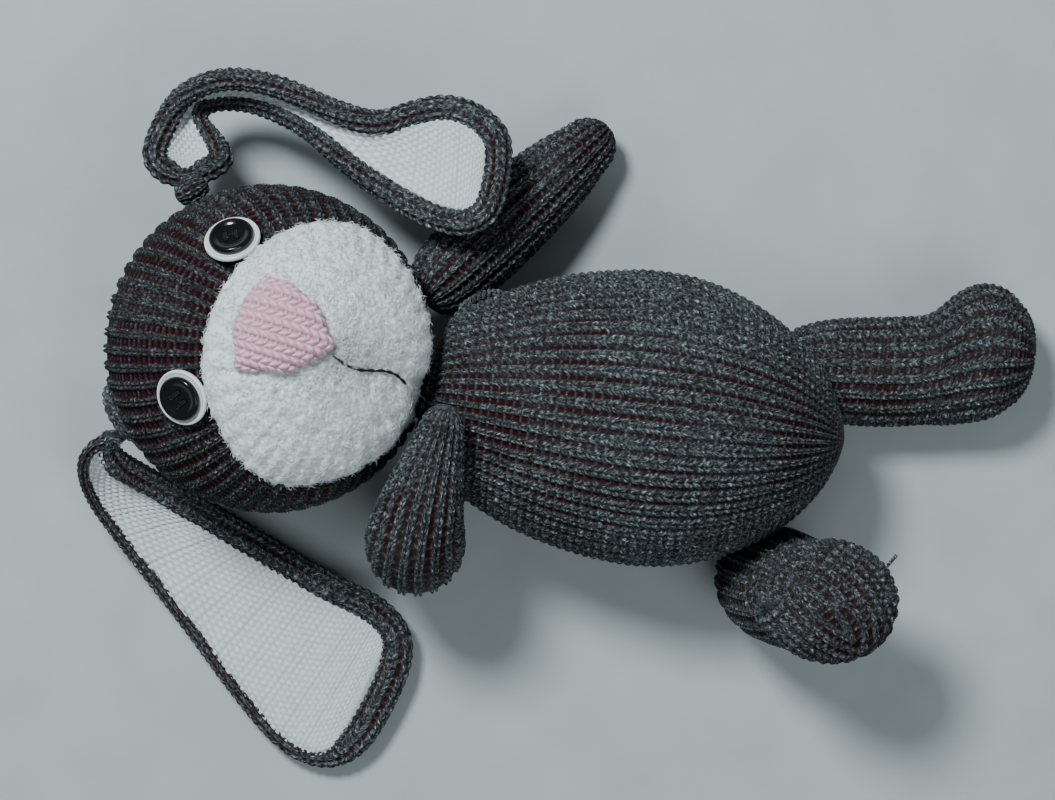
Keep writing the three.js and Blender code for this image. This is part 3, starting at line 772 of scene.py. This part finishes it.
def make_ear(side):
    """An ear between its outer and inner edges, from its root to its tip."""
    ear = EARS[side]
    steps = 120
    at = np.linspace(0, 1, steps)
    outer, inner = spline(ear["outer"], at), spline(ear["inner"], at)
    span = inner - outer
    run = np.gradient((outer + inner) / 2, axis=0)
    facing = unit(np.cross(run, span)) * ear["facing"]
    facing = unit(soften(facing, 3))
    loop = soften(np.vstack([outer, inner[::-1]]), 3, closed=True)
    normals = np.vstack([facing, facing[::-1]])
    tangent = unit(np.roll(loop, -1, axis=0) - np.roll(loop, 1, axis=0))
    inward = unit(np.cross(normals, tangent))
    towards = np.vstack([span, -span[::-1]])
    inward *= np.sign((inward * towards).sum())
    half = np.linalg.norm(np.vstack([span, span[::-1]]), axis=1) / 2
    outer_rim, tip_rim, inner_rim = (share * RIM_RADIUS for share in ear["rims"])
    to_tip = smooth(at, 0.80, 0.95)
    widths = np.concatenate([outer_rim + (tip_rim - outer_rim) * to_tip,
                             (inner_rim + (tip_rim - inner_rim) * to_tip)[::-1]])
    thick = np.minimum(soften(widths, 3, closed=True), 0.5 * half)[:, None]

    # the rolled rim: a flattened tube round the whole outline
    centre = loop + inward * thick
    data = np.hstack([centre, normals, thick])
    count = int(lengths(centre, True)[1] / RIM_COURSE)
    data = evenly(data, 2 * count, closed=True)
    centre, facing_rim, thick_rim = data[:, :3], unit(data[:, 3:6]), data[:, 6:]
    forward = unit(np.roll(centre, -1, axis=0) - np.roll(centre, 1, axis=0))
    outwards = unit(np.cross(forward, facing_rim))
    turn = np.arange(20) / 20 * 2 * math.pi
    squeeze = RIM_HEIGHT / RIM_RADIUS
    section = (np.cos(turn)[:, None] * outwards[:, None]
               + squeeze * np.sin(turn)[:, None] * facing_rim[:, None])
    grid = centre[:, None] + thick_rim[:, None] * section
    rim = knit_surface(f"{side}_ear_rim", grid, RIM_WALES, count, gap=0.24, depth=RIM_DEPTH,
                       closed_rows=True)
    dress(rim, grey_yarn, f"{side}_ear", "grey_yarn", f"{side}_ear_back")

    # the knitted back and the white lining, both between the rims
    make_ear_sheet(side, ear, loop, inward, thick, facing, lining=False)
    make_ear_sheet(side, ear, loop, inward, thick, facing, lining=True)


def make_ear_sheet(side, ear, loop, inward, thick, facing, lining):
    """The beaded white lining of an ear, or the knitted back, sagging between the rims."""
    steps = len(facing)
    inset = loop + inward * thick * (1.75 if lining else 1.1)
    first, second = inset[:steps], inset[steps:][::-1]
    keep = slice(2, steps - 1)
    first, second, facing = first[keep], second[keep], facing[keep]
    middle = (first + second) / 2
    length = lengths(middle)[1]
    rows = int(length / (0.5))
    columns = 110
    at = np.linspace(0, 1, rows)
    first, second, facing = spline(first, at), spline(second, at), unit(spline(facing, at))
    share = np.linspace(-1, 1, columns)[None, :, None]
    flat = first[:, None] * (1 - share) / 2 + second[:, None] * (1 + share) / 2
    dip = ear["trough"] * (1 - share ** 2)
    out = facing[:, None]
    width = np.linalg.norm(second - first, axis=1)[:, None]
    corner = np.clip((at * length - length + TIP_LENGTH) / TIP_LENGTH, 0, 0.97)[:, None, None]
    spine = flat.mean(axis=1, keepdims=True)
    flat = (flat - spine) * (0.55 + 0.45 * np.sqrt(1 - corner ** 2)) + spine
    x = share[..., 0] * width / 2
    y = (at * length)[:, None] + 0 * x
    if lining:
        crosswise, lengthwise = x / 2.5, y / 1.9
        shifted = crosswise + 0.5 * (np.floor(lengthwise) % 2)
        bead = np.abs(np.sin(math.pi * shifted)) * np.abs(np.sin(math.pi * lengthwise))
        wave = 0.9 * bumps(flat, 14, 4.4)
        height = 1.1 * np.sqrt(bead) + wave - 1.4 * smooth(np.abs(share[..., 0]), 0.86, 1)
        # painted shade between the beads of the lining
        valley_shade = 1 - np.sqrt(bead)
        ply = np.stack([x * 1.1 + y * 0.6, y - 0.5 * x, np.sin(x)], axis=-1)
        top = flat + out * (1.2 - dip + height[..., None])
        bottom = flat + out * (0.3 - dip)
        name, mat, slot = f"{side}_ear_inside", white_knit, "white_yarn"
        stands_for = [f"{side}_ear_lining"]
    else:
        height, valley_shade, ply = stitches(x / WALE, y / COURSE, 0.14)
        top = flat + out * (0.1 - dip)
        bottom = flat - out * (2.0 + dip + (height[..., None] - 0.5) * 1.1)
        name, mat, slot = f"{side}_ear_outside", grey_yarn, "grey_yarn"
        stands_for = []
    grid = np.concatenate([top, bottom[:, ::-1]], axis=1)
    grid[..., 2] = np.maximum(grid[..., 2], FLOOR_GAP)
    points, faces = close_grid(grid)
    pair = [np.concatenate([layer, layer[:, ::-1]], axis=1) for layer in (valley_shade, ply)]
    attributes = {
        "valley_shade": np.concatenate([pair[0].ravel(), [END_VALLEY_SHADE, END_VALLEY_SHADE]]),
        "ply": np.vstack([pair[1].reshape(-1, 3), np.zeros((2, 3))]),
    }
    sheet = add_mesh(name, points, faces, attributes)
    dress(sheet, mat, f"{side}_ear", slot, *stands_for)


LUMP_WALES, LUMP_DEPTH = 8, 1.4


def knitted_lump(name, centre, half, body, turn):
    """A small gathered ball of knitting where an ear is sewn on."""
    polar = np.radians(np.linspace(6, 174, 14))[:, None]
    around = (np.arange(20) / 20 * 2 * math.pi)[None, :]
    ball = np.stack([np.cos(polar) + 0 * around, np.sin(polar) * np.cos(around),
                     np.sin(polar) * np.sin(around)], axis=2) * np.array(half)
    c, s = math.cos(turn), math.sin(turn)
    ball = ball @ np.array([[c, s, 0], [-s, c, 0], [0, 0, 1]])
    courses = max(half) * 1.9 / 2.2
    lump = knit_surface(name, ball + np.array(centre), LUMP_WALES, courses, gap=0.2, depth=LUMP_DEPTH)
    dress(lump, grey_yarn, body, "grey_yarn")


# ---------------------------------------------------------------- arms and legs
def section_grid(sections, columns):
    """Rings round a limb from [place, axis across, axis up] for each ring."""
    turn = (np.arange(columns) / columns * 2 * math.pi)[None, :, None]
    place, across, up = (sections[:, k][:, None] for k in range(3))
    return place + np.cos(turn) * across + np.sin(turn) * up


ROOT_REACH = 4  # how far a sleeve goes on past its root towards the body
LIFT = 0.3  # the lowest a limb reaches before it is knitted
ARM_WALES, ARM_GAP = 18, 0.4


def make_arm(name, path, radii, reference):
    """A sleeve of changing radius along a path, with a ball at its root and a round hand."""
    line = evenly(spline(path, np.linspace(0, 1, 24)), 40)
    along, total = lengths(line)
    root = [((radii[0] + ROOT_REACH) * math.sin(angle), radii[0] * math.cos(angle) ** 0.6)
            for angle in np.radians(np.linspace(-84, 0, 7)[:-1])]
    tube = list(zip(along, np.interp(along, np.linspace(0, total, len(radii)), radii)))
    hand = [(total + radii[-1] * math.sin(angle), radii[-1] * math.cos(angle))
            for angle in np.radians((20, 40, 58, 74, 86))]
    profile = evenly(np.array(root + tube + hand), 34)
    profile[:, 1] = np.maximum(profile[:, 1] - SWELL * smooth(profile[:, 1], 2, 9), 0.5)
    tangents = unit(np.gradient(line, axis=0))
    sections = []
    for distance, radius in profile:
        inside = np.clip(distance, 0, total)
        place = np.array([np.interp(inside, along, line[:, k]) for k in range(3)])
        tangent = unit(np.array([np.interp(inside, along, tangents[:, k]) for k in range(3)]))
        side = unit(np.cross(reference, tangent))
        rise = np.cross(tangent, side)
        sections.append([place + tangent * (distance - inside), side * radius, rise * radius])
    grid = section_grid(np.array(sections), 28)
    grid = inflate(grid, 3)
    grid[..., 2] = np.maximum(grid[..., 2], LIFT)
    courses = lengths(profile)[1] / COURSE
    arm = knit_surface(name + "_sleeve", grid, ARM_WALES, courses, gap=ARM_GAP)
    dress(arm, grey_yarn, name, "grey_yarn", name + "_cover", name + "_stuffing", padding=0.85)


def leg_profile(path, radii, foot, forward, aside, span):
    """The two widths and the middle of a leg and its foot, cut square to an axis of the bunny."""
    shares = np.linspace(0, 1, LEG_CUTS)
    line = spline(path, shares)
    thick = np.interp(shares, np.linspace(0, 1, len(radii)), radii)
    at = np.linspace(*span, LEG_CUTS)
    sides = {}
    for axis in aside:
        edges = []
        for sign in (-1, 1):
            reach = np.full(len(at), -1e9)
            for centre, radius in zip(line, thick):
                inside = radius ** 3 - np.abs(at - centre[forward]) ** 3
                edge = sign * centre[axis] + np.cbrt(np.clip(inside, 0, None))
                reach = np.where(inside > 0, np.maximum(reach, edge), reach)
            inside = 1 - ((at - foot["centre"][forward]) / foot["half"][forward]) ** 2
            edge = sign * foot["centre"][axis] + foot["half"][axis] * np.sqrt(np.clip(inside, 0, None))
            edges.append(np.where(inside > 0, np.maximum(reach, edge), reach))
        sides[axis] = ((edges[1] + edges[0]) / 2, (edges[1] - edges[0]) / 2)
    return at, sides


LEG_WALES, LEG_COURSE, LEG_GAP = 20, 2.8, 0.46
LEG_CUTS = 60
LEGS = {
    "left_leg": {
        "path": [(72, 25, 21), (102, 29, 22), (126, 33, 22)],
        "radii": [20, 21.5, 21.5, 21.5, 21, 18.5],
        "foot": {"centre": (127.5, 39.5, 23), "half": (20.2, 27.5, 23.2)},
        "forward": 0, "aside": (1, 2), "span": (52.4, 147.2),
    },
    "right_leg": {
        "path": [(56, -55, 24), (60, -57, 40), (66, -58, 57), (71, -58, 72)],
        "radii": [21, 22, 22.5, 21.5, 18.5, 16],
        "foot": {"centre": (74, -58, 76), "half": (26.5, 24, 18)},
        "forward": 2, "aside": (0, 1), "span": (3.3, 93.7),
    },
}
SOLE_START = np.array([60.0, -53.0])  # where the sole's stitches turn round
SOLE_WAY = np.array([0.78, -0.62])  # towards the other end of the sole
SOLE_PITCH, SOLE_HEIGHT, ANKLE_HEIGHT = 5.4, 93, 62


def sole_field(dense, u, v):
    """Wales nested round the sole from one end, and plain wales down the leg."""
    flat = dense[..., :2] - SOLE_START
    ahead = flat @ SOLE_WAY
    beside = flat @ np.array([-SOLE_WAY[1], SOLE_WAY[0]])
    round_end = np.hypot(np.minimum(ahead, 0), beside)
    drop = np.clip(SOLE_HEIGHT - dense[..., 2], 0, None)
    ring = (round_end + 0.8 * drop) / SOLE_PITCH
    angle = np.arctan2(np.maximum(-ahead, 0), np.abs(beside) + 1e-6)
    course = np.where(ahead > 0, ahead, -angle * 15) / COURSE
    on_foot = dense[..., 2] > ANKLE_HEIGHT
    return np.where(on_foot, ring, u), np.where(on_foot, course, v)


def make_leg(name):
    leg = LEGS[name]
    at, sides = leg_profile(leg["path"], leg["radii"], leg["foot"], leg["forward"], leg["aside"],
                            leg["span"])
    first, second = leg["aside"]
    halves = np.stack([sides[first][0], sides[second][0]], axis=1)
    middles = np.stack([sides[first][1], sides[second][1]], axis=1)
    near_end = np.minimum(np.arange(LEG_CUTS), np.arange(LEG_CUTS)[::-1])[:, None]
    halves = np.where(near_end < 4, halves, soften(halves, 2))
    profile = evenly(np.hstack([at[:, None], halves, soften(middles, 3)]), 36)
    sections = []
    for place_at, half_a, half_b, mid_a, mid_b in profile:
        place, axis_a, axis_b = np.zeros(3), np.zeros(3), np.zeros(3)
        place[leg["forward"]], place[first], place[second] = place_at, mid_a, mid_b
        axis_a[first] = max(half_a - SWELL * smooth(half_a, 2, 9), 0.6)
        axis_b[second] = max(half_b - SWELL * smooth(half_b, 2, 9), 0.6)
        sections.append([place, axis_a, axis_b])
    grid = section_grid(np.array(sections), 30)
    grid = inflate(grid, 3)
    grid[..., 2] = np.maximum(grid[..., 2], LIFT)
    courses = lengths(profile[:, :3])[1] / LEG_COURSE
    field = sole_field if name == "right_leg" else None
    cover = knit_surface(name + "_sleeve", grid, LEG_WALES, courses, gap=LEG_GAP, field=field)
    dress(cover, grey_yarn, name, "grey_yarn", name + "_cover", name + "_stuffing", padding=0.9)


def make_yarn_end():
    """A short stray end of yarn on the right foot."""
    t = np.linspace(0, 1, 30)[:, None]
    start, bend, end = (np.array(p, float) for p in ((91, -46, 76), (94, -41, 80), (96, -39, 76)))
    line = (1 - t) ** 2 * start + 2 * t * (1 - t) * bend + t ** 2 * end
    plies = []
    for first in (0, math.pi):
        twist = 22 * t + first
        plies.append(line + 0.35 * np.hstack([np.cos(twist), np.sin(twist), 0 * t]))
    dress(strand("right_foot_yarn_end", plies, 0.4), grey_coil, "right_leg", "grey_yarn")


# ---------------------------------------------------------------- seams
WIND_REACH, WIND_THICK = 0.62, 0.42  # shares of the plain ring's thickness


def seam_coil(name, node, body, wraps, share=1.0):
    """Overcast yarn wound round the ring of a seam, in place of the plain ring of the CAD node."""
    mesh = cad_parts[node].data
    points = np.array([v.co for v in mesh.vertices])
    points = (np.array(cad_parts[node].matrix_world)[:3, :3] @ points.T).T
    centre = points.mean(0)
    axis = np.linalg.svd(points - centre, full_matrices=False)[2][2]
    radial = points - centre
    radial -= np.outer(radial @ axis, axis)
    distance = np.linalg.norm(radial, axis=1)
    ring = share * (distance.max() + distance.min()) / 2
    thread = (distance.max() - distance.min()) / 2
    side = unit(np.cross(axis, [0.3, 0.2, 0.9]))
    up = np.cross(axis, side)
    t = np.linspace(0, 2 * math.pi, wraps * 12, endpoint=False)
    out = np.cos(t)[:, None] * side + np.sin(t)[:, None] * up
    wound = wraps * t
    reach = WIND_REACH * thread
    outwards, sideways = (ring + reach * np.cos(wound))[:, None], (reach * np.sin(wound))[:, None]
    line = centre + out * outwards + axis * sideways
    coil = strand(name, (line - SHIFT) * 1000, WIND_THICK * thread * 1000, closed=True)
    dress(coil, grey_coil, body, "seam_yarn", node)


# ---------------------------------------------------------------- stage, lights and camera
FLOOR_HALF = 2.0
LAMP_COLOUR = (0.87, 0.985, 1.0)
LAMP_AIM = (0, 0, 0.03)
ROOM_COLOUR, ROOM_STRENGTH = (0.80, 0.92, 0.95, 1), 0.2
CAMERA = {"sensor": 36, "lens": 87.6, "height": 1.0, "aside": (-0.0421, 0.0018), "turn": 6.4}


def make_stage():
    mesh = bpy.data.meshes.new("floor")
    half = FLOOR_HALF
    corners = [(-half, -half, 0), (half, -half, 0), (half, half, 0), (-half, half, 0)]
    mesh.from_pydata(corners, [], [(0, 1, 2, 3)])
    floor = bpy.data.objects.new("floor", mesh)
    bpy.context.scene.collection.objects.link(floor)
    made, nodes, links, shader = material("floor_cloth")
    place = nodes.new("ShaderNodeTexCoord")
    mottle = noise_node(nodes, 30, 4.0)
    links.new(place.outputs["Object"], mottle.inputs["Vector"])
    tone = ramp(nodes, [(0.3, (0.43, 0.46, 0.465)), (0.7, (0.48, 0.51, 0.515))])
    links.new(mottle.outputs["Fac"], tone.inputs["Fac"])
    links.new(tone.outputs["Color"], shader.inputs["Base Color"])
    shader.inputs["Roughness"].default_value = 0.95
    floor.data.materials.append(made)


def area_light(name, place, size, power):
    data = bpy.data.lights.new(name, "AREA")
    data.color = LAMP_COLOUR
    data.shape = "DISK"
    data.size = size
    data.energy = power
    obj = bpy.data.objects.new(name, data)
    obj.location = place
    obj.rotation_euler = (Vector(LAMP_AIM) - Vector(place)).to_track_quat("-Z", "Y").to_euler()
    bpy.context.scene.collection.objects.link(obj)


def make_lights():
    area_light("key", (-0.45, 0.5, 1.1), size=0.3, power=17)
    area_light("fill", (0.6, -0.7, 1.2), size=1.0, power=7)
    world = bpy.data.worlds.new("studio")
    world.use_nodes = True
    world.node_tree.nodes["Background"].inputs["Color"].default_value = ROOM_COLOUR
    world.node_tree.nodes["Background"].inputs["Strength"].default_value = ROOM_STRENGTH
    bpy.context.scene.world = world


def make_camera():
    data = bpy.data.cameras.new("camera")
    data.sensor_width = CAMERA["sensor"]
    data.lens = CAMERA["lens"]
    camera = bpy.data.objects.new("camera", data)
    aside = CAMERA["aside"]
    camera.location = (SHIFT[0] + aside[0], SHIFT[1] + aside[1], CAMERA["height"])
    camera.rotation_euler = (0, 0, math.radians(CAMERA["turn"]))
    bpy.context.scene.collection.objects.link(camera)
    bpy.context.scene.camera = camera


make_camera()
make_lights()
make_stage()
make_body()
make_head()
make_muzzle()
make_nose()
make_mouth()
make_eye("left", EYE_LEFT)
make_eye("right", -EYE_LEFT)
make_ear("left")
make_ear("right")
knitted_lump("right_ear_gather", (-187, -19, 58), (13, 7, 9), "head", -0.9)
knitted_lump("left_ear_gather", (-174, 65, 52), (6.5, 5, 5.5), "left_ear", 0.6)
make_yarn_end()
make_arm("left_arm", [(-72, 51, 29), (-56, 71, 24), (-31, 100, 15)],
         [17, 18, 18, 17.5, 16.5, 15, 12.5], np.array([0.0, 0.0, 1.0]))
make_arm("right_arm", [(-77, -56, 42), (-77, -56, 60), (-76, -44, 83), (-71, -12, 96)],
         [18.2, 19, 19.4, 18.2, 15.7, 12.5, 9.2], np.array([1.0, 0.0, 0.0]))
make_leg("left_leg")
make_leg("right_leg")
seam_coil("neck_seam", "neck_stitches", "neck", 44)
for joint_name in ("left_shoulder", "right_shoulder", "left_hip", "right_hip"):
    seam_coil(joint_name + "_seam", joint_name + "_stitches", joint_name, 26, 0.8)
